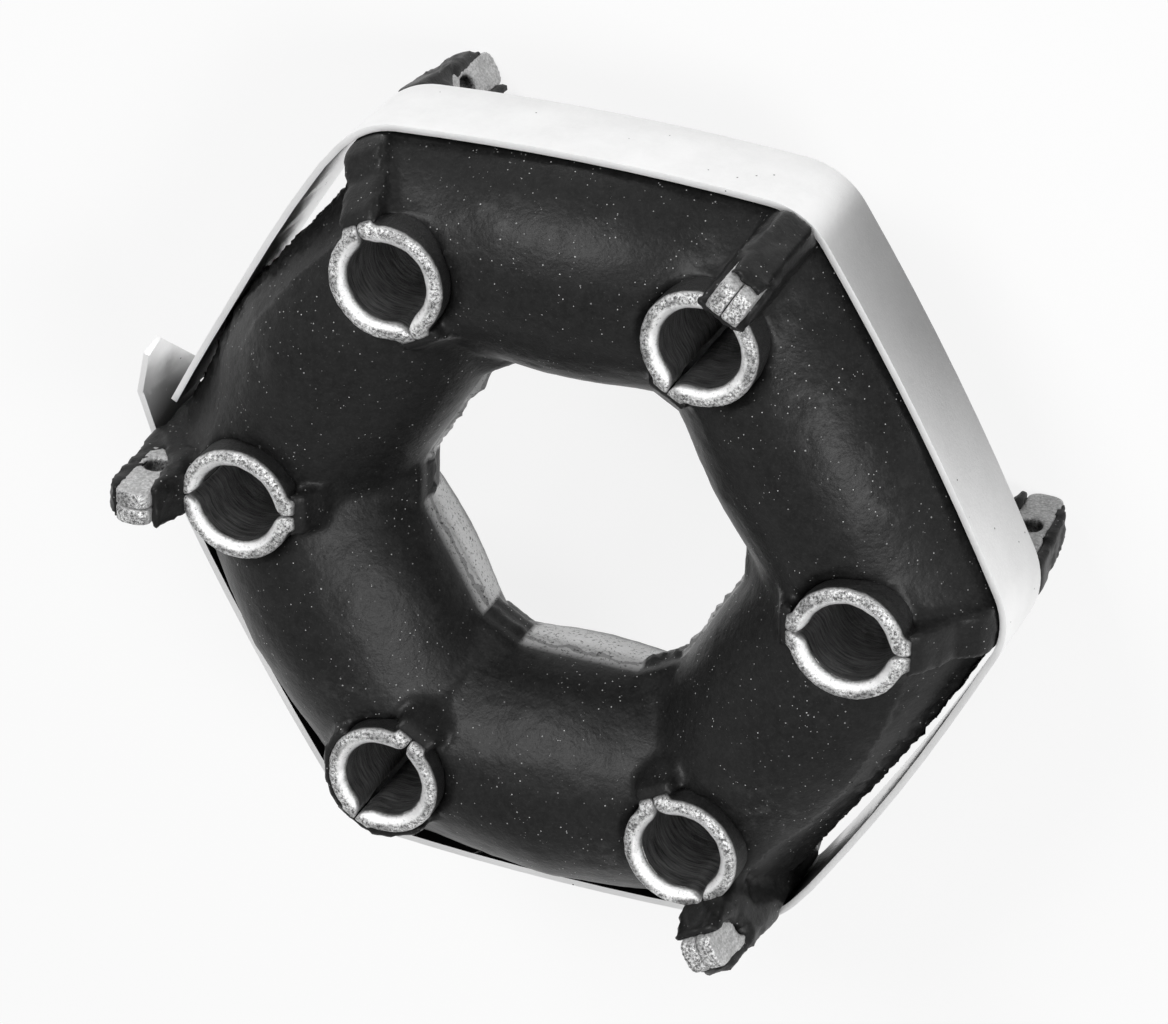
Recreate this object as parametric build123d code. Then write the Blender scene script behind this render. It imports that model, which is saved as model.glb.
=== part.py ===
from build123d import *
from math import atan2, cos, degrees, radians, sin, tan
import os

# Hexagonal rubber flex disc for a driveshaft
# The disc axis is Z, the front face looks up, and the middle of the thickness is z = 0.
# Side outlines are drawn as (distance from the disc axis, height). The first bolt eye is on +X.

# Bolt eyes of the steel inserts
eyes = 6
bolt_circle = 94.0
bolt_bore = 12.2
sheet = 2.6
eye_length = 42.4
bore_leaves = 21.0
bore_lip_round = 3.0
eye_stub = 0.6
slit = 0.1

# Flat wings of the inserts
wing_past_corner = 1.1
wing_hole_height = 2.6
wing_below_end = 5.7

# Ear of each insert, which stands past the edge of the band
ear_past_end = 7.0
ear_length = 5.4
ear_foot_depth = 2.2
ear_hook = 0.7
ear_corner_round = 1.8
ear_hole = 3.8
ear_hole_inset = 2.3
ear_hole_drop = 2.8

# Steel band round the hexagon
band_past_eye = 9.7
band_side_bulge = 0.95
band_corner_round = 11.9
band_thickness = 1.0
band_width = 15.2
band_clearance = 0.2
band_starts = 2.5

# Loose end of the band: it leaves the corner straight, and its tip is folded in along a slant
tail_leaves = 19.0
tail_run = 12.0
tail_fold = 32.0
tail_fold_slant = 18.0
tail_end_slant = 38.0
tail_length = 10.9
tail_corner = 2.0

# Rubber body
hole_across_flats = 47.6
hole_straight = 6.0
rubber_skin = 1.2
lug_height = 6.8
inner_rib_width = 6.4
inner_rib_cover = 1.7
outer_rib_width = 7.0
outer_rib_below_end = 4.8
outer_rib_past_band = 1.8
outer_rib_bevel = 1.4
pocket_length = 1.5
pocket_width = 2.4
pocket_depth = 0.9
moat_width = 1.9
moat_depth = 3.2
web_gap = 0.3
web_thickness = 0.9
web_below_ear = 1.2
ear_cover = 1.4

# Side shape of the rubber blocks. Each point is the share of the way from the hole to the band,
# and the height. The first list is halfway between two eyes, the second in the plane of an eye.
# From eye to eye a block is made in this many steps.
block_middle = [(0.052, 9.0), (0.225, 15.6), (0.510, 19.9), (0.769, 17.2), (0.945, 10.8), (1.006, 5.0)]
block_at_eye = [(0.046, 7.0), (0.187, 13.4), (0.427, 18.3), (0.657, 16.4), (0.847, 10.8), (0.980, 5.0)]
block_steps = 6

# Worked out from the sizes above
sector = 360 / eyes
half_sector = sector / 2
eye_at = bolt_circle / 2
bore_radius = bolt_bore / 2
eye_radius = bore_radius + sheet
eye_end = eye_length / 2
eye_reach = eye_radius + eye_stub
eye_inner = eye_at - eye_reach
eye_outer = eye_at + eye_reach
plates = 2 * sheet
band_half = band_width / 2
band_outer_corner = eye_outer + band_past_eye
rubber_inset = band_thickness + band_clearance
rubber_corner = band_outer_corner - rubber_inset
hole_half = hole_across_flats / 2
hole_corner = hole_half / cos(radians(half_sector))
wing_hole_end = hole_corner - wing_past_corner
wing_band_end = rubber_corner - rubber_skin
wing_root_height = eye_end - wing_below_end
ear_start = eye_outer + web_gap + web_thickness
ear_end = ear_start + ear_length
ear_foot = eye_end - ear_foot_depth
ear_top = eye_end + ear_past_end
ear_hook_end = wing_band_end + ear_hook
far = 2 * band_outer_corner

# The band's outside: an arc round each corner, and a flatter arc along each side
corner_centre = band_outer_corner - band_corner_round
corner_to_side = corner_centre * sin(radians(half_sector))
band_side_reach = corner_centre * cos(radians(half_sector)) + band_corner_round + band_side_bulge
band_side_round = band_corner_round + band_side_bulge / 2 + corner_to_side ** 2 / (2 * band_side_bulge)
band_side_centre = band_side_reach - band_side_round
corner_turn = degrees(atan2(-band_side_centre * sin(radians(half_sector)),
                            corner_centre - band_side_centre * cos(radians(half_sector))))


def side_plane(angle):
    """Upright plane through the disc axis: local x runs outwards at the angle, local y runs up."""
    turn = radians(angle)
    return Plane((0, 0, 0), x_dir=(cos(turn), sin(turn), 0), z_dir=(sin(turn), -cos(turn), 0))


def side_solid(outline, width):
    """Solid with the given side outline at the first eye, centred on its wings."""
    return extrude(side_plane(0) * outline, width / 2, both=True)


def mirrored(points):
    """The points, then the same points below the middle plane in reverse order."""
    return points + [(x, -z) for x, z in reversed(points)]


# Pressed steel inserts

def bore_outline():
    """Round bore that runs out into a notch at each end of the split, like an eye."""
    leave = radians(bore_leaves)
    x, y = bore_radius * cos(leave), bore_radius * sin(leave)
    tip = bore_radius / cos(leave)
    notches = make_face(Polyline((tip, 0), (x, y), (-x, y), (-tip, 0), (-x, -y), (x, -y), close=True))
    return Circle(bore_radius) + notches


def insert_section():
    """Plan of both sheets without their bore: the eye, and a flat wing on each side of it."""
    return Circle(eye_radius) + Rectangle(2 * far, plates)


def sheet_section():
    """Plan of one of the two sheets, with its bent lips by the bore rounded."""
    keep = Pos(0, far / 2 + slit / 2) * Rectangle(2 * far, far)
    section = (insert_section() - bore_outline()) & keep
    lips = [v for v in section.vertices() if abs(v.X) < eye_radius and v.Y < slit]
    return fillet(lips, bore_lip_round)


def insert_side():
    """Side outline of the sheets: wings, eye ends, and the ear on the front with its hole."""
    above = [
        (eye_outer, eye_end), (eye_outer, ear_foot), (ear_start, ear_foot),
        (ear_start, ear_top), (ear_end, ear_top),
        (ear_hook_end, band_half + ear_hook), (wing_band_end, band_half)]
    inner = [(wing_hole_end, wing_hole_height), (eye_inner, wing_root_height), (eye_inner, eye_end)]
    below = [(wing_band_end, -band_half), (eye_outer, -wing_root_height), (eye_outer, -eye_end)]
    outline = inner + above + below + [(x, -z) for x, z in reversed(inner)]
    face = make_face(Polyline(*outline, close=True))
    face = fillet([v for v in face.vertices() if abs(v.Y - ear_top) < slit], ear_corner_round)
    return face - ear_hole_outline()


def ear_hole_outline():
    """Round hole through the ear, in the side outline's own axes."""
    return Pos(ear_end - ear_hole_inset, eye_end - ear_hole_drop) * Circle(ear_hole / 2)


def stand_up(section):
    """Raise a plan section at the first eye and cut it to the side outline of the insert."""
    raised = Pos(eye_at, 0, -ear_top) * extrude(section, 2 * ear_top)
    return raised & side_solid(insert_side(), far)


# Steel band

def band_outline(inset):
    """Hexagon with round corners and slightly bulged sides, moved in from the band's outside."""
    corner = CenterArc((corner_centre, 0), band_corner_round - inset, -corner_turn, 2 * corner_turn)
    side = Rot(0, 0, half_sector) * CenterArc(
        (band_side_centre, 0), band_side_round - inset, corner_turn - half_sector, sector - 2 * corner_turn)
    arcs = []
    for n in range(eyes):
        arcs += [Rot(0, 0, n * sector) * corner, Rot(0, 0, n * sector) * side]
    return make_face(Wire(arcs))


def steel_band():
    """Strip round the hexagon, open at the fourth corner, where its last stretch has sprung off."""
    corner = Vector(-corner_centre, 0)
    out = Vector(1, 0).rotate(Axis.Z, 180 + tail_leaves)
    run = out.rotate(Axis.Z, -90)
    foot = corner + out * band_corner_round
    # The strip begins on the side just past the corner, and leaves that corner straight
    first = Vector(1, 0).rotate(Axis.Z, 180 - corner_turn)
    begin = corner + first.rotate(Axis.Z, -90) * band_starts
    gap = make_face(Polyline(corner, corner + out * far, begin + first * far, begin, close=True))
    loop = band_outline(0) - band_outline(band_thickness) - gap
    loop = Pos(0, 0, -band_half) * extrude(loop, band_width)
    # Loose end: local x runs along it, local y to the front and local z inwards
    flat = Plane(foot, x_dir=run, z_dir=-out)
    fold_rear = tail_run - band_width * tan(radians(tail_fold_slant))
    end_front = tail_run + tail_length
    end_rear = end_front - band_width * tan(radians(tail_end_slant))
    clipped = tail_corner * tan(radians(tail_end_slant))
    root = Polyline((0, -band_half), (fold_rear, -band_half), (tail_run, band_half), (0, band_half), close=True)
    tip = Polyline(
        (fold_rear, -band_half), (end_rear - tail_corner, -band_half), (end_rear + clipped, tail_corner - band_half),
        (end_front - tail_corner, band_half - tail_corner / tan(radians(tail_end_slant))),
        (end_front - 2 * tail_corner, band_half), (tail_run, band_half), close=True)
    fold_from = flat.from_local_coords(Vector(tail_run, band_half, 0))
    fold_to = flat.from_local_coords(Vector(fold_rear, -band_half, 0))
    tip = extrude(flat * make_face(tip), band_thickness)
    tip = tip.rotate(Axis(fold_from, fold_to - fold_from), tail_fold)
    return loop + extrude(flat * make_face(root), band_thickness) + tip


# Rubber body

def block_section(angle):
    """Side section of the rubber at an angle from the eye. Its sides run parallel to the band."""
    blend = (1 - cos(radians(180 * angle / half_sector))) / 2
    stretch = 1 / cos(radians(half_sector - angle))
    edge = hole_half * stretch
    span = (band_side_reach - rubber_inset - hole_half) * stretch
    points = [(edge, hole_straight / 2)]
    for (s_eye, z_eye), (s_mid, z_mid) in zip(block_at_eye, block_middle):
        points.append((edge + span * (s_eye + (s_mid - s_eye) * blend), z_eye + (z_mid - z_eye) * blend))
    front = Spline(*points)
    rear = Spline(*[(x, -z) for x, z in points])
    last = points[-1]
    outline = [front, Line(last, (last[0], -last[1])), rear, Line((edge, -hole_straight / 2), points[0])]
    return side_plane(angle) * make_face(outline)


def rubber_blocks():
    """The two half blocks that meet in the plane of the first eye's wings."""
    block = loft([block_section(sector * n / block_steps) for n in range(block_steps + 1)], ruled=True)
    half = split(block, bisect_by=side_plane(half_sector), keep=Keep.TOP)
    return half + mirror(half, Plane.XZ)


def eye_ribs():
    """Rubber over the wings of the first eye, from the lug in the hole out to the band."""
    rib_height = wing_root_height + inner_rib_cover
    inner = mirrored([(wing_hole_end - rubber_skin, lug_height / 2), (eye_inner, rib_height), (eye_at, rib_height)])
    rib_height = eye_end - outer_rib_below_end
    band_end = band_half + outer_rib_past_band
    outer = mirrored([(eye_at, rib_height), (eye_outer, rib_height),
                      (rubber_corner - outer_rib_bevel, band_end + outer_rib_bevel),
                      (rubber_corner, band_end - outer_rib_bevel)])
    return (side_solid(make_face(Polyline(*inner, close=True)), inner_rib_width)
            + side_solid(make_face(Polyline(*outer, close=True)), outer_rib_width))


def eye_recess():
    """What is cut from the rubber round the first eye: a moat on each face and the pockets."""
    moat = Pos(eye_at, 0, eye_end - moat_depth) * extrude(Circle(eye_radius + moat_width), moat_depth)
    reach = eye_reach + pocket_length
    floor = wing_root_height + inner_rib_cover - pocket_depth
    pocket = Pos(eye_at - reach / 2, 0, (floor + eye_end) / 2) * Box(reach, pocket_width, eye_end - floor)
    front = moat + pocket
    return front + mirror(front, Plane.XY)


def ear_rubber():
    """Web of rubber between the first eye and its ear, and the cover on the ear's outer edge."""
    base = band_half + band_clearance
    web = Polyline(
        (ear_start - web_thickness, 0), (ear_start - web_thickness, ear_top - web_below_ear),
        (ear_start, ear_top - web_below_ear), (ear_start + ear_cover, ear_foot),
        (ear_end, band_half + ear_hook + ear_cover * 2),
        (rubber_corner, base), (rubber_corner, 0), close=True)
    cover = Polyline(
        (ear_end - ear_cover, ear_foot), (ear_end, ear_top - ear_corner_round),
        (ear_end + ear_cover, ear_top - ear_corner_round * 2),
        (band_outer_corner, base + ear_cover), (band_outer_corner, base), (ear_end - ear_cover, base), close=True)
    return side_solid(make_face(web), plates + 2 * rubber_skin), side_solid(make_face(cover), plates)


def rubber_sector():
    """The sixth of the rubber round the first eye, cut away where the steel is."""
    inside_band = Pos(0, 0, -ear_top) * extrude(band_outline(rubber_inset), 2 * ear_top)
    web, cover = ear_rubber()
    rubber = (rubber_blocks() + eye_ribs()) & inside_band
    rubber = rubber - eye_recess() + (web & inside_band) + cover
    rubber -= stand_up(insert_section())
    rubber -= Pos(eye_at, 0, 0) * Cylinder(eye_radius, 2 * ear_top)
    return rubber - side_solid(ear_hole_outline(), far)


def rubber_body():
    """Six sectors, joined halfway between the eyes."""
    rubber = rubber_sector()
    return at_eye(0, rubber) + [at_eye(n, rubber) for n in range(1, eyes)]


def at_eye(n, solid):
    """Turn a solid from the first eye to eye n, and over, since the ears change face every eye."""
    over = 180 if n % 2 == 0 else 0
    return Rot(0, 0, n * sector) * Rot(over, 0, 0) * solid


def main():
    os.makedirs("parts", exist_ok=True)
    nodes = {"rubber_body": rubber_body(), "steel_band": steel_band()}
    left = stand_up(sheet_section())
    right = mirror(left, Plane.XZ)
    for n in range(eyes):
        nodes[f"insert_{n + 1}_left"] = at_eye(n, left)
        nodes[f"insert_{n + 1}_right"] = at_eye(n, right)
    for name, solid in nodes.items():
        export_step(solid, f"parts/{name}.step")


main()
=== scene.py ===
# %% [markdown]
# # A rubber flex disc, dressed for its picture
# A flex disc joins two shafts and lets them bend a little. Six steel eyes sit in a six-sided
# rubber ring, and a thin steel band holds the ring together. This script loads the measured
# model of the disc, which fixes every size and place, and builds the looks round it.

# %% Load the measured model
import math

import bpy
from mathutils import Matrix, Vector, noise


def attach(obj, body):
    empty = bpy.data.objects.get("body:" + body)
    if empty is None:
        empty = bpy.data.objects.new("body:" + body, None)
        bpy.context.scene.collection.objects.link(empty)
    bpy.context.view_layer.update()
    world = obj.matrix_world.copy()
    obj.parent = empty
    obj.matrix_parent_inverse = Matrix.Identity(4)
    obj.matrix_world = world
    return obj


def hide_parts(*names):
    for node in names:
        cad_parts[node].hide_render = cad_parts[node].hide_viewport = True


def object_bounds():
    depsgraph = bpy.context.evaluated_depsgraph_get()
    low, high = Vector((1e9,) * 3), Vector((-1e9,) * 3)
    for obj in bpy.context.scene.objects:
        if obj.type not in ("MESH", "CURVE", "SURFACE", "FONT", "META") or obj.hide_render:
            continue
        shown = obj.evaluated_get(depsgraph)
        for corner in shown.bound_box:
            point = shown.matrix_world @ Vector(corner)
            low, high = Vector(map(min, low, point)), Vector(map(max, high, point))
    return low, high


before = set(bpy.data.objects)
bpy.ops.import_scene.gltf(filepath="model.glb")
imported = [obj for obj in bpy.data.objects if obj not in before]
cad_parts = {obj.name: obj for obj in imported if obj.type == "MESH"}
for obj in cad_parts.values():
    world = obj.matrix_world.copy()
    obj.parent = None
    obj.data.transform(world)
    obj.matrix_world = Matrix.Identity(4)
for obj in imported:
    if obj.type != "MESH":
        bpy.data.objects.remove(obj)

cad_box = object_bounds()
millimetre = 0.001
print("measured model:", [tuple(round(c / millimetre, 1) for c in corner) for corner in cad_box])

# %% [markdown]
# ## The camera
# A photograph fixes where the camera stood. Here it looked down on the front face from far away
# with a long lens, and it was turned about its own line of sight, which the roll repeats.

# %% Stand the camera where the photograph was taken
camera_place = Vector((247.8, 368.0, 617.0)) * millimetre
camera_aim = Vector((-0.97, -0.64, 0.0)) * millimetre
camera_roll = math.radians(-138.72)

bpy.ops.object.camera_add(location=camera_place)
camera = bpy.context.object
camera.name = "photo_camera"
camera.data.lens = 161.92
camera.data.sensor_width = 36.0
camera.data.sensor_fit = "HORIZONTAL"
camera.data.clip_start = 0.01
camera.data.clip_end = 20.0
camera.rotation_euler = (camera_aim - camera_place).to_track_quat("-Z", "Y").to_euler()
camera.rotation_euler.rotate_axis("Z", camera_roll)
bpy.context.scene.camera = camera
print("camera distance in mm:", round((camera_aim - camera_place).length / millimetre, 1))

# %% [markdown]
# ## Helpers for shaping
# A measured part can't be changed, so a piece that stands for it starts from a merged copy. The
# helpers pick one object, copy a part, and add a modifier that is applied at once.

# %% Pick, copy and modify
def deselect_all():
    """Leaves nothing selected."""
    for other in bpy.context.selected_objects:
        other.select_set(False)


def focus(piece):
    """Selects one object alone and makes it the active one."""
    deselect_all()
    piece.select_set(True)
    bpy.context.view_layer.objects.active = piece


def copy_of(node_name, name):
    """A copy of a measured part, its loose triangles merged, free to be reshaped."""
    piece = bpy.data.objects.new(name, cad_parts[node_name].data.copy())
    bpy.context.scene.collection.objects.link(piece)
    focus(piece)
    bpy.ops.mesh.customdata_custom_splitnormals_clear()
    bpy.ops.object.mode_set(mode="EDIT")
    bpy.ops.mesh.select_all(action="SELECT")
    bpy.ops.mesh.remove_doubles(threshold=0.001 * millimetre)
    bpy.ops.object.mode_set(mode="OBJECT")
    return piece


def modify(piece, kind, **settings):
    """Adds a modifier with these settings and applies it."""
    focus(piece)
    modifier = piece.modifiers.new(kind.lower(), kind)
    for setting, value in settings.items():
        setattr(modifier, setting, value)
    bpy.ops.object.modifier_apply(modifier=modifier.name)


def unevenness(name, size, depth=2):
    """A cloud texture whose lumps are about the given size."""
    clouds = bpy.data.textures.new(name, "CLOUDS")
    clouds.noise_scale = size
    clouds.noise_depth = depth
    return clouds


# %% [markdown]
# ## Where the eyes are
# The six eyes are alike, but every second one is turned over, so that its ear is on the other
# face. A shape drawn at the first eye is carried to the others by one matrix each.

# %% The six places
eye_circle = 47.0 * millimetre
eye_angle = math.radians(60)


def to_eye(n):
    """Carries a shape whose ear is on the front from the first eye to eye n."""
    over = Matrix.Rotation(math.pi, 4, "X") if n % 2 == 0 else Matrix.Identity(4)
    return Matrix.Rotation(n * eye_angle, 4, "Z") @ over


eye_centres = [to_eye(n) @ Vector((eye_circle, 0, 0)) for n in range(6)]
print("eye centres in mm:",
      [tuple(round(c / millimetre, 1) for c in centre) for centre in eye_centres])

# %% [markdown]
# ## The rubber body
# Moulded rubber has no sharp corner, and this one is old and scuffed. The measured body is exact
# but crisp, so its copy is filled where the steel sits, since nobody sees inside, and rebuilt
# from small even cells, which rounds every edge like a mould does. Smoothing and two layers of
# clouds then give it the slight waviness of rubber. All outlines are drawn at the first eye.

# %% Fill the slots where the steel sits
def outline_slab(name, outline, width):
    """A slab across the first eye's wings from a side outline of (distance, height) in mm."""
    deselect_all()
    bpy.ops.mesh.primitive_circle_add(vertices=len(outline), fill_type="NGON")
    slab = bpy.context.object
    slab.name = name
    for vertex, (distance, height) in zip(slab.data.vertices, outline):
        vertex.co = Vector((distance, -width / 2, height)) * millimetre
    bpy.ops.object.mode_set(mode="EDIT")
    bpy.ops.mesh.select_all(action="SELECT")
    bpy.ops.mesh.extrude_region_move(TRANSFORM_OT_translate={"value": (0, width * millimetre, 0)})
    bpy.ops.mesh.select_all(action="SELECT")
    bpy.ops.mesh.normals_make_consistent(inside=False)
    bpy.ops.object.mode_set(mode="OBJECT")
    return slab


def eye_tube(name, inner, outer, height):
    """A tube round the first eye, in mm: a cylinder, with a longer one cut out of it."""
    deselect_all()
    bpy.ops.mesh.primitive_cylinder_add(vertices=48, radius=outer * millimetre,
                                        depth=height * millimetre)
    tube = bpy.context.object
    tube.name = name
    tube.data.transform(Matrix.Translation((eye_circle, 0, 0)))
    bpy.ops.mesh.primitive_cylinder_add(vertices=48, radius=inner * millimetre,
                                        depth=2 * height * millimetre)
    bore = bpy.context.object
    bore.data.transform(Matrix.Translation((eye_circle, 0, 0)))
    modify(tube, "BOOLEAN", operation="DIFFERENCE", object=bore, solver="EXACT")
    bpy.data.objects.remove(bore)
    return tube


wing_width = 5.5
tip_width = 6.6
fillers = [
    outline_slab("inner_wing_fill",
                 [(27.0, 2.0), (38.4, 15.0), (38.4, -15.0), (27.0, -2.0)], wing_width),
    outline_slab("outer_wing_fill",
                 [(55.6, 15.2), (63.2, 7.2), (63.2, -7.2), (55.6, -15.2)], wing_width),
    outline_slab("ear_fill",
                 [(56.9, 6.0), (57.0, 26.6), (57.6, 26.6), (58.4, 19.2), (62.2, 11.4),
                  (63.8, 6.0)], wing_width),
    eye_tube("eye_fill", inner=7.4, outer=9.0, height=31.6),
    outline_slab("inner_tip_skin",
                 [(34.6, 14.0), (36.4, 19.2), (38.5, 20.5), (38.5, 12.0)], tip_width),
    outline_slab("inner_tip_skin_below",
                 [(34.6, -14.0), (36.4, -19.2), (38.5, -20.5), (38.5, -12.0)], tip_width),
    outline_slab("outer_tip_skin",
                 [(55.5, 12.0), (55.5, 20.3), (57.4, 19.6), (59.6, 14.0)], tip_width),
    outline_slab("outer_tip_skin_below",
                 [(55.5, -12.0), (55.5, -20.5), (57.6, -19.0), (60.4, -14.0)], tip_width),
]
print("fill pieces:", [piece.name for piece in fillers])

# %% [markdown]
# The ears were covered with rubber too, and it tore off each of them in its own way. So every ear
# has its own skins: a wedge towards the eye, a rim along the outer edge, and a sleeve round its
# foot.

# %% Skins on the ears
rim_width = 5.2
sleeve_width = 7.0


def ear_skins(n, wedge_width, rim_top, rim_depth, sleeve_top):
    """Wedge, rim and sleeve of the ear of eye n, carried to its place. All sizes are in mm."""
    wedge = outline_slab(f"wedge_{n + 1}",
                         [(54.8, 10.0), (54.8, 20.6), (56.9, 26.4), (57.6, 26.8), (58.0, 19.0),
                          (58.8, 10.0)], wedge_width)
    rim = outline_slab(f"rim_{n + 1}",
                       [(62.4, 6.0), (62.4, rim_top - 2.5), (62.7, rim_top),
                        (62.9 + rim_depth, rim_top - 2.2), (63.4 + rim_depth, 16.0), (64.6, 6.0)],
                       rim_width)
    sleeve = outline_slab(f"sleeve_{n + 1}",
                          [(56.6, 6.0), (57.2, sleeve_top + 2.0), (59.6, sleeve_top + 0.6),
                           (61.6, sleeve_top - 1.6), (63.6, sleeve_top - 2.0), (64.6, 6.0)],
                          sleeve_width)
    for dark_inside in (wedge, rim, sleeve):
        dark_inside.data.transform(to_eye(n))
    return [wedge, rim, sleeve]


# For each ear: the wedge's width, the rim's top and depth, and the sleeve's top.
skin_sizes = [(5.8, 27.8, 0.7, 8.0), (6.4, 23.8, 1.0, 22.6), (6.6, 26.8, 1.6, 15.0),
              (6.8, 27.6, 1.9, 7.5), (6.0, 27.4, 1.5, 18.0), (7.4, 27.4, 1.7, 20.2)]
skins = []
for n, sizes in enumerate(skin_sizes):
    skins += ear_skins(n, *sizes)
print("skins on the ears:", len(skins))

# %% [markdown]
# Round the fifth eye a collar of rubber is left standing. It starts as a tube. One half of it is
# cut away, and so is all that lies lower than the face of the disc.

# %% The torn collar
collar_foot = 12 * millimetre
collar = eye_tube("torn_collar", inner=8.3, outer=9.9, height=41.4)
collar.data.transform(to_eye(4))
focus(collar)
bpy.ops.object.mode_set(mode="EDIT")
bpy.ops.mesh.select_all(action="SELECT")
bpy.ops.mesh.bisect(plane_co=eye_centres[4], plane_no=(0.75, 0.66, 0), use_fill=True,
                    clear_outer=True)
bpy.ops.mesh.select_all(action="SELECT")
bpy.ops.mesh.bisect(plane_co=(0, 0, collar_foot), plane_no=(0, 0, 1), use_fill=True,
                    clear_inner=True)
bpy.ops.object.mode_set(mode="OBJECT")
skins.append(collar)
print("skins with the collar:", len(skins))

# %% [markdown]
# Now all of it is joined to the copy of the body and rebuilt as one skin.

# %% Rebuild the rubber from small cells
rubber_cell = 0.8 * millimetre
rubber = copy_of("rubber_body", "moulded_rubber")
for n in range(6):
    for filler in fillers:
        twin = bpy.data.objects.new(f"{filler.name}_{n + 1}", filler.data.copy())
        bpy.context.scene.collection.objects.link(twin)
        twin.data.transform(to_eye(n))
        focus(rubber)
        twin.select_set(True)
        bpy.ops.object.join()
focus(rubber)
for dark_inside in skins:
    dark_inside.select_set(True)
bpy.ops.object.join()
for filler in fillers:
    bpy.data.objects.remove(filler)
modify(rubber, "REMESH", mode="VOXEL", voxel_size=rubber_cell, use_smooth_shade=True)
modify(rubber, "SMOOTH", factor=0.5, iterations=2)
print("rubber faces:", len(rubber.data.polygons))

# %% [markdown]
# On two sides the rubber has shrunk away from the band, and daylight shows through the gap. The
# edge there is torn. Each point of the side wall is pushed in by a depth that changes along the
# side, with some noise for the tears.

# %% Draw the rubber back from the band on two sides
wall_half_height = 14 * millimetre


def smooth_step(value, low, high):
    """Rises smoothly from 0 at low to 1 at high."""
    share = min(max((value - low) / (high - low), 0.0), 1.0)
    return share * share * (3 - 2 * share)


def directions(side):
    """Out of a side and along it. A side is named by the angle of its normal in degrees."""
    out = Vector((math.cos(math.radians(side)), math.sin(math.radians(side)), 0))
    return out, Vector((-out.y, out.x, 0))


def draw_back(piece, side, gap):
    """Pushes a side wall in by gap(place), in mm that change along it, but not at its corners."""
    out, along = directions(side)
    for vertex in piece.data.vertices:
        reach = vertex.co.dot(out) / millimetre
        place = vertex.co.dot(along) / millimetre
        if reach < 48 or abs(place) > 31.5 or abs(vertex.co.z) > wall_half_height:
            continue
        tear = 0.5 * noise.noise(vertex.co * 800) + 0.4 * noise.noise(vertex.co * 1700)
        depth = gap(place) * smooth_step(reach, 48, 57) + tear * smooth_step(reach, 55.5, 57.5)
        depth *= 1 - smooth_step(abs(place), 26.0, 28.0)
        vertex.co -= out * depth * millimetre


draw_back(rubber, 330, lambda place: 0.7 + 1.6 * smooth_step(-place, -27, 24))
draw_back(rubber, 150,
          lambda place: 2.9 * smooth_step(-place, -8, 24) + 0.9 * smooth_step(place, 8, 20))
print("rubber drawn back on the sides at 330 and 150 degrees")

# %% [markdown]
# Where the two halves of the mould met, a thin flash of rubber was squeezed out round the hole and
# then torn off. The points close to that line are pushed towards the middle by a jagged amount.
# The skins get ragged edges in the same way. On the first ear the rubber has come off the flat
# side of the steel, so there the rubber is sunk below it.

# %% Flash round the hole, and ragged edges on the skins
def from_eye(point):
    """Nearest eye's number, and how far out and how far sideways a point in mm lies, seen from
    the disc's axis towards that eye."""
    turn = math.atan2(point.y, point.x)
    n = round(turn / eye_angle) % 6
    distance = math.hypot(point.x, point.y)
    return n, distance * math.cos(turn - n * eye_angle), distance * math.sin(turn - n * eye_angle)


flash_half_height = 0.75
sunk_side = 1.9

moved = []
for vertex in rubber.data.vertices:
    point = vertex.co / millimetre
    distance = math.hypot(point.x, point.y)
    n, outward, sideways = from_eye(point)
    shift = Vector((0, 0, 0))
    if distance < 29 and abs(point.z) < flash_half_height:
        jagged = 0.35 + 0.9 * max(noise.noise(vertex.co * 260), 0)
        jagged += 0.5 * noise.noise(vertex.co * 900)
        turn = math.degrees(math.atan2(point.y, point.x)) % 60
        at_corner = 1 - smooth_step(min(turn, 60 - turn), 5, 12)
        jagged += 1.3 * max(noise.noise(vertex.co * 500), 0) * at_corner
        shift = Vector((-point.x, -point.y, 0)) / distance * max(jagged, 0)
    elif (n == 0 and point.z < -9 and 57.9 < outward < 65.1 + 0.1 * point.z
          and sunk_side < abs(sideways) < 4.5):
        shift = Vector((0, math.copysign(sunk_side, sideways) - sideways, 0))
    elif distance > 45 and abs(point.z) > 13:
        on_ear = smooth_step(outward, 55, 56) * (1 - smooth_step(abs(sideways), 4.5, 6))
        to_axis = math.hypot(outward - eye_circle / millimetre, sideways)
        on_collar = smooth_step(abs(point.z), 17, 18) * (1 - smooth_step(to_axis, 10.2, 10.8))
        on_ear *= (point.z > 0) == (n % 2 == 1)
        on_collar *= n == 4 and point.z > 0
        if on_ear > 0 or on_collar > 0:
            ragged = 0.28 * noise.noise(vertex.co * 420) + 0.3 * noise.noise(vertex.co * 1100)
            ragged *= max(on_ear, on_collar) * smooth_step(abs(point.z), 13, 15)
            shift = vertex.normal * ragged
    moved.append(vertex.co + shift * millimetre)
rubber.data.vertices.foreach_set("co", [value for co in moved for value in co])
rubber.data.update()
print("rubber points:", len(moved))

# %% [markdown]
# Two layers of clouds come last: a long wave from the mould, and the pores of the skin.

# %% Slight waviness
def roughen(piece, name, size, strength):
    """Moves the surface in and out by clouds of a size and a strength in mm."""
    modify(piece, "DISPLACE", texture=unevenness(name, size * millimetre),
           strength=strength * millimetre, mid_level=0.5, texture_coords="LOCAL")


roughen(rubber, "mould_waves", 9, 0.3)
roughen(rubber, "skin_pores", 1.7, 0.16)
print("rubber size in mm:", [round(side / millimetre, 1) for side in rubber.dimensions])

# %% [markdown]
# ## The steel inserts
# Each insert is two pressed sheets. Shearing and years of bolting have rounded their edges and
# beaten their ends. Every sheet is copied, rebuilt from finer cells than the rubber, and given
# small dents.

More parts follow.
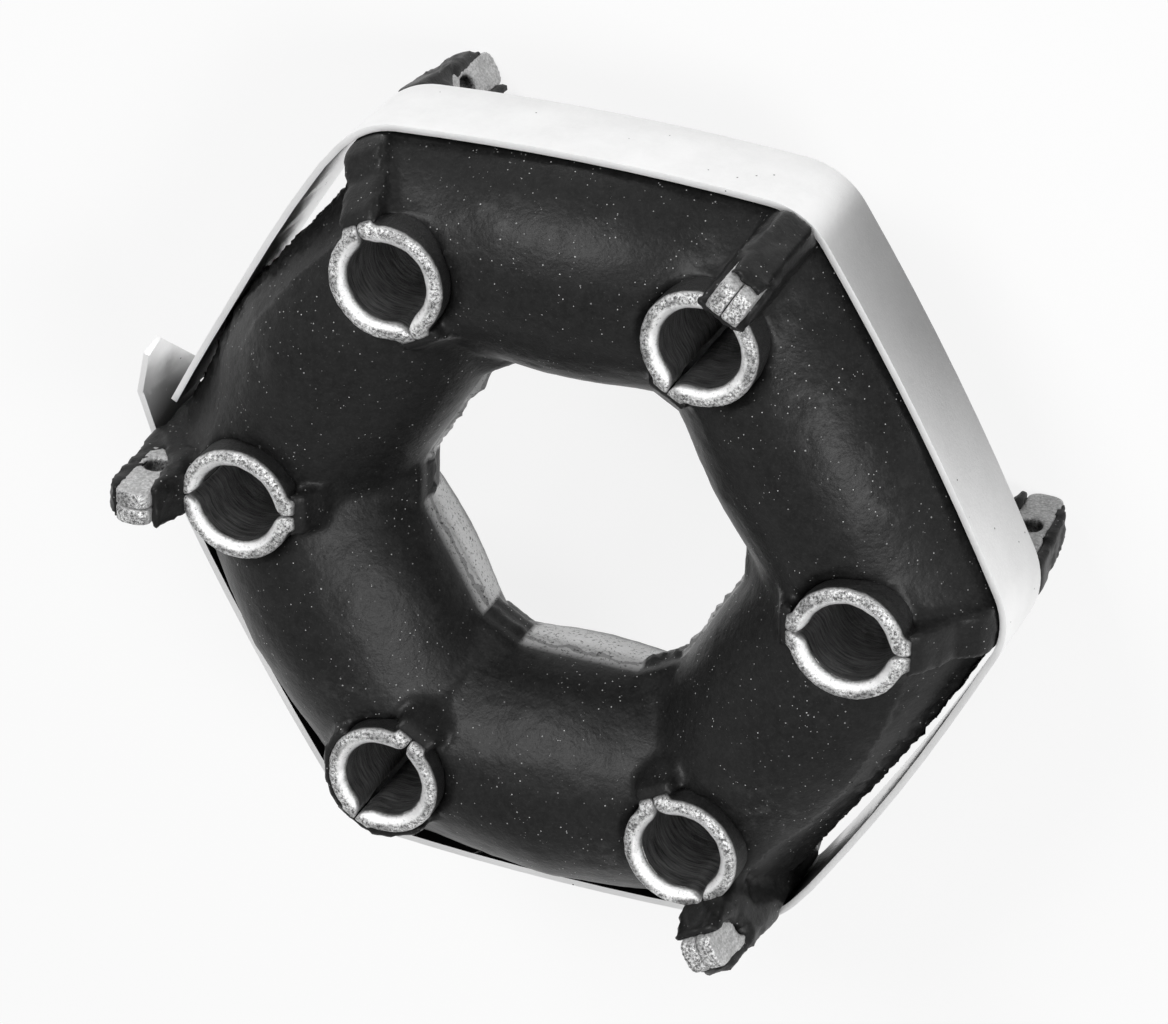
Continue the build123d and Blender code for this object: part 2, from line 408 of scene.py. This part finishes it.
# %% Rebuild the twelve sheets
sheet_cell = 0.38 * millimetre
sheets = {}
for node_name in sorted(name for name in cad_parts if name.startswith("insert_")):
    sheet = copy_of(node_name, node_name.replace("insert", "eye_sheet"))
    modify(sheet, "REMESH", mode="VOXEL", voxel_size=sheet_cell, use_smooth_shade=True)
    modify(sheet, "SMOOTH", factor=0.5, iterations=2)
    roughen(sheet, "dents", 1.5, 0.22)
    sheets[node_name] = sheet
print("sheet faces:", [len(sheet.data.polygons) for sheet in sheets.values()])

# %% [markdown]
# The mouth of each bore is chamfered, wider on one side than on the other, and the outer edge is
# beaten round. Both are cut by lowering the points of the end by how near they are to the edge.

# %% Chamfer the mouths and beat the edges
chamfer_radius = 7.1
beaten_radius = 8.05
deepest_cut = 1.1


def centre_of(node_name):
    """Middle of the eye that a sheet belongs to, from the number in the sheet's name."""
    return eye_centres[int(node_name.split("_")[1]) - 1]


for node_name, sheet in sheets.items():
    centre = centre_of(node_name)
    for vertex in sheet.data.vertices:
        height = abs(vertex.co.z) / millimetre
        to_axis = math.hypot(vertex.co.x - centre.x, vertex.co.y - centre.y) / millimetre
        if to_axis > 10 or height < 19.5 or height > 21.8:
            continue
        wide = chamfer_radius + 0.45 * noise.noise(vertex.co * 150)
        drop = 0.75 * max(wide - to_axis, 0) + 0.55 * max(to_axis - beaten_radius, 0)
        drop += 0.2 * abs(noise.noise(vertex.co * 330))
        drop *= smooth_step(height, 19.6, 20.8)
        vertex.co.z -= math.copysign(min(drop, deepest_cut) * millimetre, vertex.co.z)
print("sheets with cut ends:", len(sheets))

# %% [markdown]
# ## The band
# The band is thin strip. On the two sides where the rubber has shrunk, its front edge leans out.
# These sides are opposite each other, so the same cuts across give both of them points to bend at.

# %% Cut two sides of the band across
band = copy_of("steel_band", "wrapped_band")
along = directions(150)[1]
focus(band)
bpy.ops.object.mode_set(mode="EDIT")
for place in range(-24, 27, 8):
    bpy.ops.mesh.select_all(action="SELECT")
    bpy.ops.mesh.bisect(plane_co=along * place * millimetre, plane_no=along)
bpy.ops.object.mode_set(mode="OBJECT")
print("band faces after the cuts:", len(band.data.polygons))

# %% Lean the two sides out
band_width = 15.2


def lean_out(piece, side, lean):
    """Tips the front edge of a side outwards by lean(place), in mm that change along the side."""
    out, along = directions(side)
    for vertex in piece.data.vertices:
        if vertex.co.dot(out) > 54 * millimetre:
            share = vertex.co.z / (band_width * millimetre) + 0.5
            vertex.co += out * lean(vertex.co.dot(along) / millimetre) * share * millimetre


lean_out(band, 150, lambda place: 0.6 * smooth_step(-place, -10, 18)
         * (1 - smooth_step(-place, 24, 31)))
lean_out(band, 330, lambda place: 0.4 * smooth_step(-place, -28, 6)
         * (1 - smooth_step(-place, 24, 31)))
print("band size in mm:", [round(side / millimetre, 1) for side in band.dimensions])

# %% [markdown]
# The strip was cut with a sharp edge. A fine bevel is enough to catch the light along its rim.

# %% Bevel the band
modify(band, "BEVEL", width=0.22 * millimetre, segments=2, limit_method="ANGLE",
       angle_limit=math.radians(40))
focus(band)
bpy.ops.object.shade_smooth_by_angle(angle=math.radians(35))
print("band faces:", len(band.data.polygons))

# %% [markdown]
# ## Masks
# Wear sits in places, not all over. A mask is a number on every point of a mesh, which a
# material reads by name. The masks are worked out from where each point is and how it faces.

# %% A helper that paints a mask
def paint_mask(piece, name, strength):
    """Stores strength(point in mm, normal) on every vertex of a piece."""
    mask = piece.data.attributes.new(name, "FLOAT", "POINT")
    values = [strength(vertex.co / millimetre, vertex.normal) for vertex in piece.data.vertices]
    mask.data.foreach_set("value", values)


# %% Scuffs on the rubber
scuffs = [((10, -48, 17), 11), ((50, 20, 17), 9), ((36, -32, 18), 10), ((-10, 52, 16), 8),
          ((-30, -30, 18), 8), ((40, 33, 17), 9), ((-46, 22, 15), 7), ((22, 50, 15), 7)]


def spot(point, centre, radius):
    """One at the centre, fading to nothing at the radius."""
    return 1 - smooth_step((point - Vector(centre)).length, 0, radius)


def scuff(point, normal):
    """One in the middle of a scuff. The list holds each one's centre and radius in mm."""
    return min(sum(spot(point, centre, radius) for centre, radius in scuffs), 1.0)


paint_mask(rubber, "scuff", scuff)
print("scuffs:", len(scuffs))

# %% [markdown]
# The wall of the hole between the lugs at its corners gets a painted reflection of the white paper
# below. It is stronger below the flash than above.

# %% Painted reflection on the wall of the hole
def hole_wall(point, normal):
    """Where the wall's painted reflection goes: one on the wall of the centre hole, but not on the
    lugs at its corners.
    """
    distance = math.hypot(point.x, point.y)
    turn = math.degrees(math.atan2(point.y, point.x)) % 60
    to_corner = min(turn, 60 - turn)
    inward = -(normal.x * point.x + normal.y * point.y) / distance
    if distance > 31 or to_corner < 8:
        return 0.0
    # Painted reflection of the white paper, stronger lower down on the wall.
    wall_glare = 0.3 + 0.7 * smooth_step(-point.z, -2.5, 3.5)
    wall_glare *= (1 - smooth_step(point.z, 1.6, 3.0)) * smooth_step(point.z, -9.5, -6)
    return wall_glare * smooth_step(inward, 0.55, 0.9)


paint_mask(rubber, "hole_wall", hole_wall)
print("masks on the rubber: scuff and hole_wall")

# %% [markdown]
# A sheet has five places with a look of their own: the bore, darkened with painted shade, the dark
# flank of the eye, the bright chamfer at the mouth, the burr at the outer edge, and the hole in the
# ear, blackened with painted shade.

# %% Masks of the sheets
ear_hole_reach, ear_hole_height = 60.6, 18.4


def sheet_masks(centre):
    """The masks by name, each a function of a point and a normal. The eye's centre is in mm."""
    def off_axis(point):
        return math.hypot(point.x - centre.x, point.y - centre.y)

    def bore(point, normal):
        facing = -(normal.x * (point.x - centre.x) + normal.y * (point.y - centre.y))
        facing /= max(off_axis(point), 0.1)
        below_end = 1 - smooth_step(abs(point.z), 19.7, 20.2)
        return smooth_step(facing, 0.2, 0.6) * below_end if off_axis(point) < 7.8 else 0.0

    def flank(point, normal):
        below_end = 1 - smooth_step(abs(point.z), 20.0, 20.6)
        return smooth_step(off_axis(point), 8.2, 8.6) * below_end if off_axis(point) < 9.6 else 0.0

    def chamfer(point, normal):
        wide = chamfer_radius + 0.05 + 0.45 * noise.noise(point * 0.15)
        within = 1 - smooth_step(off_axis(point), wide - 0.15, wide + 0.2)
        return within * smooth_step(abs(point.z), 19.9, 20.3) if off_axis(point) > 5 else 0.0

    def burr(point, normal):
        at_end = smooth_step(abs(point.z), 20.5, 20.8)
        return smooth_step(off_axis(point), 8.35, 8.5) * at_end if off_axis(point) < 9.8 else 0.0

    def ear_hole(point, normal):
        reach = point.dot(centre.normalized())
        to_middle = math.hypot(reach - ear_hole_reach, abs(point.z) - ear_hole_height)
        return 1 - smooth_step(to_middle, 1.75, 2.05)

    return {"bore": bore, "flank": flank, "chamfer": chamfer, "burr": burr, "ear_hole": ear_hole}


for node_name, sheet in sheets.items():
    masks = sheet_masks(centre_of(node_name) / millimetre)
    for name, strength in masks.items():
        paint_mask(sheet, name, strength)
print("masks on each sheet:", list(masks))

# %% [markdown]
# The inside face of the band is painted near black, but not on the loose end, and not along most of
# the two sides that lean out.

# %% The inside of the band
def inside_band(point, normal):
    """One on the inside face, which faces the rubber, but not on the loose end."""
    reach = 0.5 * point.y - 0.866 * point.x
    if point.x < -50 and reach > 60.4:
        return 0.0
    inward = -(normal.x * point.x + normal.y * point.y) / math.hypot(point.x, point.y)
    return smooth_step(inward, 0.3, 0.7)


def bare_inside(point, normal):
    """One where the inside is left unpainted, between a first and a last place along each side."""
    bare = 0.0
    for side, first, last in ((150, -33, 3), (330, -24, 33)):
        out, along = directions(side)
        if point.dot(out) > 50:
            place = point.dot(along)
            started = smooth_step(place, first - 0.5, first + 0.5)
            bare = max(bare, started * (1 - smooth_step(place, last - 2, last)))
    return bare


paint_mask(band, "inside", inside_band)
paint_mask(band, "bare", bare_inside)
print("masks on the band: inside and bare")

# %% [markdown]
# ## Materials
# Each finish is a small tree of nodes. The helpers keep the trees short. The first one adds a node,
# sets its values and links its inputs, and the others are built on it.

# %% Helpers for the node trees
def add(tree, kind, inputs=None, **settings):
    """Adds a node, sets its properties, and fills inputs from values or other nodes' outputs."""
    node = tree.nodes.new(kind)
    for name, value in settings.items():
        setattr(node, name, value)
    for name, value in (inputs or {}).items():
        if isinstance(value, bpy.types.NodeSocket):
            tree.links.new(value, node.inputs[name])
        else:
            node.inputs[name].default_value = value
    return node


def new_finish(name):
    """A material with its tree, its main shader, and object coordinates."""
    material = bpy.data.materials.new(name)
    material.use_nodes = True
    tree = material.node_tree
    place = add(tree, "ShaderNodeTexCoord").outputs["Object"]
    return material, tree, tree.nodes["Principled BSDF"], place


def mask_of(tree, name):
    """The mask that was painted under this name."""
    return add(tree, "ShaderNodeAttribute", attribute_name=name,
               attribute_type="GEOMETRY").outputs["Fac"]


# %% Helpers that reckon with numbers
def math_step(tree, kind, a, b):
    """One step on two numbers or outputs. The result is kept between 0 and 1."""
    return add(tree, "ShaderNodeMath", {0: a, 1: b}, operation=kind, use_clamp=True).outputs[0]


def times(tree, a, b):
    """Two numbers or outputs multiplied."""
    return math_step(tree, "MULTIPLY", a, b)


def height_of(tree, vector):
    """The third number of a vector, which is a height where the vector is a place."""
    return add(tree, "ShaderNodeSeparateXYZ", {0: vector}).outputs["Z"]


def stretch(tree, value, low, high, first=0.0, last=1.0):
    """Turns low..high into first..last, and stays at these two beyond."""
    return add(tree, "ShaderNodeMapRange",
               {"Value": value, "From Min": low, "From Max": high, "To Min": first, "To Max": last},
               clamp=True).outputs["Result"]


# %% Helpers for patterns, colours and relief
def cloudy(tree, place, size, low, high, detail=4.0, rough=0.6):
    """Noise with lumps of the given size in mm, stretched so that low..high becomes 0..1."""
    field = add(tree, "ShaderNodeTexNoise",
                {"Vector": place, "Scale": 1000 / size, "Detail": detail, "Roughness": rough})
    return stretch(tree, field.outputs["Fac"], low, high)


def specks(tree, place, size, share, radius):
    """Dots of a radius in mm, one in a share of the cells, which have a size in mm."""
    cells = add(tree, "ShaderNodeTexVoronoi",
                {"Vector": place, "Scale": 1000 / size, "Randomness": 1.0})
    near = stretch(tree, cells.outputs["Distance"], radius / size, 0.6 * radius / size)
    red = add(tree, "ShaderNodeSeparateColor", {"Color": cells.outputs["Color"]}).outputs["Red"]
    return times(tree, near, math_step(tree, "GREATER_THAN", red, 1 - share))


def as_colour(tone):
    """A grey number as a colour. An output stays as it is."""
    return (tone, tone, tone, 1) if isinstance(tone, float) else tone


def blend(tree, share, first, second):
    """Mixes two colours, each given as a grey number or another node's output."""
    mixer = add(tree, "ShaderNodeMix", data_type="RGBA")
    for socket, value in (("Factor_Float", share), ("A_Color", as_colour(first)),
                          ("B_Color", as_colour(second))):
        target = next(s for s in mixer.inputs if s.identifier == socket)
        if isinstance(value, bpy.types.NodeSocket):
            tree.links.new(value, target)
        else:
            target.default_value = value
    return next(s for s in mixer.outputs if s.identifier == "Result_Color")


def bump(tree, shader, heights, distance):
    """Fine relief from a number, as high as the distance in mm."""
    relief = add(tree, "ShaderNodeBump",
                 {"Height": heights, "Strength": 1.0, "Distance": distance * millimetre})
    tree.links.new(relief.outputs["Normal"], shader.inputs["Normal"])


# %% [markdown]
# Old rubber is nearly black. What the eye sees on it is dust: a faint bloom in clouds, grey
# scuffs where it was rubbed, and bright specks.

# %% Worn black rubber
rubber_finish, tree, shader, place = new_finish("worn_rubber")
bloom = cloudy(tree, place, 16, 0.35, 0.7, detail=6.0)
mottle = cloudy(tree, place, 1.4, 0.35, 0.75, detail=6.0, rough=0.7)
streaks = cloudy(tree, place, 0.5, 0.5, 0.72, detail=6.0, rough=0.75)
tone = blend(tree, bloom, 0.004, 0.010)
tone = blend(tree, times(tree, mottle, 0.6), tone, 0.022)
tone = blend(tree, times(tree, streaks, 0.4), tone, 0.035)
rubbed = cloudy(tree, place, 2.6, 0.48, 0.72, detail=8.0, rough=0.75)
rubbed = times(tree, mask_of(tree, "scuff"), rubbed)
tone = blend(tree, times(tree, rubbed, 0.55), tone, 0.10)
shader.inputs["Roughness"].default_value = 0.4
shader.inputs["Specular IOR Level"].default_value = 0.2
bump(tree, shader, cloudy(tree, place, 0.7, 0.2, 0.8, detail=5.0, rough=0.55), 0.045)
print("nodes for the black:", len(tree.nodes))

# %% [markdown]
# On the wall of the hole a painted reflection of the white paper, speckled by noise, covers most of
# the black. A thin wavy line beside the flash is left out of it and stays dark. Bright dots and
# lint lie in drifts over all of the rubber.

# %% Painted reflection on the hole's wall, and dust on the rubber
seam_height = 1.1 * millimetre
seam_half_width = 0.25 * millimetre
seam_wander = 0.8 * millimetre

wall = mask_of(tree, "hole_wall")
glare_speckle = cloudy(tree, place, 0.55, 0.66, 0.55, detail=4.0, rough=0.75)
# Painted reflection: the wall of the hole is lightened towards 0.85, speckled by noise.
tone = blend(tree, times(tree, wall, glare_speckle), tone, 0.85)
wander = cloudy(tree, place, 4.0, 0.3, 0.7)
height = add(tree, "ShaderNodeMath", {0: wander, 1: seam_wander, 2: height_of(tree, place)},
             operation="MULTIPLY_ADD").outputs[0]
seam = add(tree, "ShaderNodeMath", {0: height, 1: seam_height, 2: seam_half_width},
           operation="COMPARE").outputs[0]
tone = blend(tree, times(tree, seam, wall), tone, 0.02)
swept = cloudy(tree, place, 9, 0.42, 0.58, detail=3.0)
tone = blend(tree, times(tree, specks(tree, place, 0.8, 0.5, 0.11), swept), tone, 0.55)
tone = blend(tree, times(tree, specks(tree, place, 1.9, 0.6, 0.15), mottle), tone, 0.6)
lint = cloudy(tree, place, 0.42, 0.735, 0.775, detail=2.0)
tone = blend(tree, times(tree, lint, swept), tone, 0.5)
tree.links.new(tone, shader.inputs["Base Color"])
print("nodes with the dust:", len(tree.nodes))

# %% [markdown]
# The ends of the steel are scratched and patchy, with a bright chamfer round the bore and a bright
# burr outside. The flat sides are dull and grainy.

# %% Beaten insert steel: sides and ends
insert_finish, tree, shader, place = new_finish("insert_steel")
grain = cloudy(tree, place, 0.45, 0.3, 0.7, detail=6.0, rough=0.75)
patches = cloudy(tree, place, 3.0, 0.35, 0.65, detail=5.0, rough=0.7)
side_tone = blend(tree, grain, 0.28, 0.95)
side_tone = blend(tree, times(tree, patches, 0.3), side_tone, 0.12)
pitted = cloudy(tree, place, 0.42, 0.40, 0.58, detail=4.0, rough=0.8)
end_tone = blend(tree, pitted, 0.08, 0.95)
tarnish = cloudy(tree, place, 3.4, 0.44, 0.58, detail=6.0, rough=0.7)
end_tone = blend(tree, times(tree, tarnish, 0.55), end_tone, 0.07)
bright = cloudy(tree, place, 0.5, 0.30, 0.46, detail=4.0, rough=0.8)
end_tone = blend(tree, times(tree, mask_of(tree, "chamfer"), bright), end_tone, 0.95)
burred = times(tree, mask_of(tree, "burr"), times(tree, pitted, 0.8))
end_tone = blend(tree, burred, end_tone, 0.8)
facing_up = height_of(tree, add(tree, "ShaderNodeNewGeometry").outputs["Normal"])
facing_up = add(tree, "ShaderNodeMath", {0: facing_up}, operation="ABSOLUTE").outputs[0]
tone = blend(tree, stretch(tree, facing_up, 0.35, 0.65), side_tone, end_tone)
print("nodes for sides and ends:", len(tree.nodes))

# %% [markdown]
# The bores are painted dark, which is painted shade, with fine turning marks. Noise that is drawn
# out ten times across gives rings round the bore's axis. The hole in the ear is painted black,
# which is painted shade too.

# %% Beaten insert steel: bores, flanks and ear holes
rings = add(tree, "ShaderNodeMapping", {"Vector": place, "Scale": (0.1, 0.1, 1.0)})
rings = cloudy(tree, rings.outputs["Vector"], 0.35, 0.3, 0.7, detail=3.0)
# Painted shade: the bore is darkened to 0.02-0.17, with turning rings.
tone = blend(tree, mask_of(tree, "bore"), tone, blend(tree, rings, 0.02, 0.17))
tone = blend(tree, mask_of(tree, "flank"), tone, blend(tree, grain, 0.015, 0.055))
# Painted shade: the hole in the ear is painted near black.
tone = blend(tree, mask_of(tree, "ear_hole"), tone, 0.01)
tree.links.new(tone, shader.inputs["Base Color"])
shader.inputs["Metallic"].default_value = 0.6
shader.inputs["Roughness"].default_value = 0.45
bump(tree, shader, times(tree, grain, 0.8), 0.08)
print("nodes in all:", len(tree.nodes))

# %% [markdown]
# The band is plain rolled strip, with faint clouds, a grain and a few specks. A grey smudge marks
# its loose end, and its inside face is painted near black. Where the inside is left unpainted, the
# steel is clean.

# %% Rolled band steel
smudge_place = (-0.0668, 0.0102, 0.0024)
smudge_radius, smudge_core = 0.0036, 0.0004

band_finish, tree, shader, place = new_finish("band_steel")
stains = cloudy(tree, place, 9, 0.35, 0.7, detail=6.0, rough=0.65)
grain = cloudy(tree, place, 0.6, 0.3, 0.7, detail=5.0, rough=0.7)
tone = blend(tree, stains, 0.97, 0.88)
tone = blend(tree, times(tree, grain, 0.35), tone, 0.98)
tone = blend(tree, specks(tree, place, 2.2, 0.2, 0.17), tone, 0.15)

inside, bare = mask_of(tree, "inside"), mask_of(tree, "bare")
dark_inside = math_step(tree, "SUBTRACT", inside, bare)
flecks = times(tree, cloudy(tree, place, 3.0, 0.66, 0.7, detail=6.0), inside)
dark_inside = math_step(tree, "ADD", dark_inside, flecks)
dark_inside = times(tree, dark_inside, cloudy(tree, place, 5.0, 0.30, 0.34, detail=8.0, rough=0.6))
# The inside face is painted near black in patches, with flecks of it where it is otherwise
# unpainted.
tone = blend(tree, dark_inside, tone, 0.012)

to_smudge = add(tree, "ShaderNodeVectorMath", {0: place, 1: smudge_place}, operation="DISTANCE")
smudge = stretch(tree, to_smudge.outputs["Value"], smudge_radius, smudge_core)
smudge = times(tree, smudge, cloudy(tree, place, 2.5, 0.2, 0.6))
tone = blend(tree, times(tree, smudge, 0.5), tone, 0.35)
tree.links.new(tone, shader.inputs["Base Color"])

clean = times(tree, inside, bare)
for socket, plain, where_clean in (("Metallic", 0.7, 1.0), ("Roughness", 0.42, 0.3)):
    tree.links.new(stretch(tree, clean, 0.0, 1.0, plain, where_clean), shader.inputs[socket])
bump(tree, shader, grain, 0.02)
print("nodes for the band:", len(tree.nodes))

# %% [markdown]
# ## Dressing
# Each piece gets its finish and moves with the part's root, and the measured part it was copied
# from is hidden. Rounding may not make the disc bigger, so points are held within the measured box.

# %% Put the finishes on
def dress(piece, finish, slot_name, *nodes):
    """Keeps a piece inside the measured box, gives it a finish, and hides the measured parts it
    stands for.
    """
    for vertex in piece.data.vertices:
        vertex.co = [min(max(c, low), high) for c, low, high in zip(vertex.co, *cad_box)]
    piece.data.materials.clear()
    piece.data.materials.append(finish)
    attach(piece, "root")
    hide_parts(*nodes)


dress(rubber, rubber_finish, "rubber", "rubber_body")
dress(band, band_finish, "band_steel", "steel_band")
for node_name, sheet in sheets.items():
    dress(sheet, insert_finish, "insert_steel", node_name)
print("dressed pieces:", 2 + len(sheets))

# %% [markdown]
# ## Floor and light
# The disc lies on its rear ears on plain white paper. The paper glows for the camera, which keeps
# it white, and still takes the disc's soft shadow. Metal sees the same white paper, but with a dark
# patch beyond the disc's side at 30 degrees, which turns that side of the band grey.

# %% Where the paper is dark for metal
floor_finish = bpy.data.materials.new("floor_paper")
floor_finish.use_nodes = True
tree = floor_finish.node_tree
tree.nodes.clear()
place = add(tree, "ShaderNodeTexCoord").outputs["Object"]


def reach(tree, place, direction):
    """How far a place lies in a direction, in metres."""
    return add(tree, "ShaderNodeVectorMath", {0: place, 1: direction},
               operation="DOT_PRODUCT").outputs["Value"]


out = stretch(tree, reach(tree, place, (0.866, 0.5, 0)), 0.03, 0.06)
along = reach(tree, place, (-0.5, 0.866, 0))
near = stretch(tree, along, -0.052, 0.0, 0.0, 0.95)
far = stretch(tree, along, 0.026, 0.036, 1.0, 0.0)
shade = math_step(tree, "SUBTRACT", 1.0, times(tree, times(tree, near, far), out))
print("nodes for the dark patch:", len(tree.nodes))

# %% [markdown]
# The glow is mixed with plain paper by the kind of ray. The camera sees mostly glow, so a little of
# the shadow stays, and mirrored rays see nothing but glow.

# %% The floor
camera_share = 0.85

bpy.ops.mesh.primitive_plane_add(size=6.0, location=(0, 0, cad_box[0].z))
floor = bpy.context.object
floor.name = "floor"
path = add(tree, "ShaderNodeLightPath").outputs
seen = math_step(tree, "MAXIMUM", times(tree, path["Is Camera Ray"], camera_share),
                 path["Is Glossy Ray"])
seen = math_step(tree, "MAXIMUM", seen, path["Is Transmission Ray"])
strength = math_step(tree, "MAXIMUM", path["Is Camera Ray"], shade)
paper = add(tree, "ShaderNodeBsdfDiffuse", {"Color": (0.8, 0.8, 0.8, 1)})
glow = add(tree, "ShaderNodeEmission", {"Color": (1, 1, 1, 1), "Strength": strength})
mix = add(tree, "ShaderNodeMixShader", {0: seen, 1: paper.outputs[0], 2: glow.outputs[0]})
add(tree, "ShaderNodeOutputMaterial", {"Surface": mix.outputs[0]})
floor.data.materials.append(floor_finish)
print("floor at height in mm:", round(floor.location.z / millimetre, 1))

# %% [markdown]
# Two soft boxes light the disc from about halfway up, one from the left of the picture and one from
# the right. They lay a broad sheen on the crowned blocks, and their directions were chosen to put
# it where the photograph has it.

# %% Soft boxes
def soft_box(name, azimuth, elevation, distance, size, power):
    """An area lamp aimed at the disc from a direction given in degrees."""
    a, e = math.radians(azimuth), math.radians(elevation)
    away = Vector((math.cos(a) * math.cos(e), math.sin(a) * math.cos(e), math.sin(e)))
    bpy.ops.object.light_add(type="AREA", location=away * distance)
    lamp = bpy.context.object
    lamp.name = name
    lamp.data.size = size
    lamp.data.energy = power
    lamp.rotation_euler = (-away).to_track_quat("-Z", "Y").to_euler()
    return lamp


lamps = [soft_box("left_box", 117, 43, 1.2, 0.45, 8.5),
         soft_box("right_box", 7, 47, 1.2, 0.42, 8.0)]
print("lamps and their watts:", {lamp.name: lamp.data.energy for lamp in lamps})

# %% [markdown]
# The world is white for the camera, a softer white where metal mirrors it, and dim where it lights
# the disc, so that the two lamps keep the upper hand.

# %% A white world
mirrored_strength = 0.6
fill_strength = 0.22

world = bpy.context.scene.world or bpy.data.worlds.new("studio")
bpy.context.scene.world = world
world.use_nodes = True
tree = world.node_tree
path = add(tree, "ShaderNodeLightPath").outputs
seen = math_step(tree, "MAXIMUM", path["Is Camera Ray"], path["Is Transmission Ray"])
seen = math_step(tree, "MAXIMUM", seen, times(tree, path["Is Glossy Ray"], mirrored_strength))
seen = math_step(tree, "MAXIMUM", seen, fill_strength)
tree.links.new(seen, tree.nodes["Background"].inputs["Strength"])
tree.nodes["Background"].inputs["Color"].default_value = (1, 1, 1, 1)
bpy.context.scene.view_settings.view_transform = "Standard"
print("view transform:", bpy.context.scene.view_settings.view_transform)
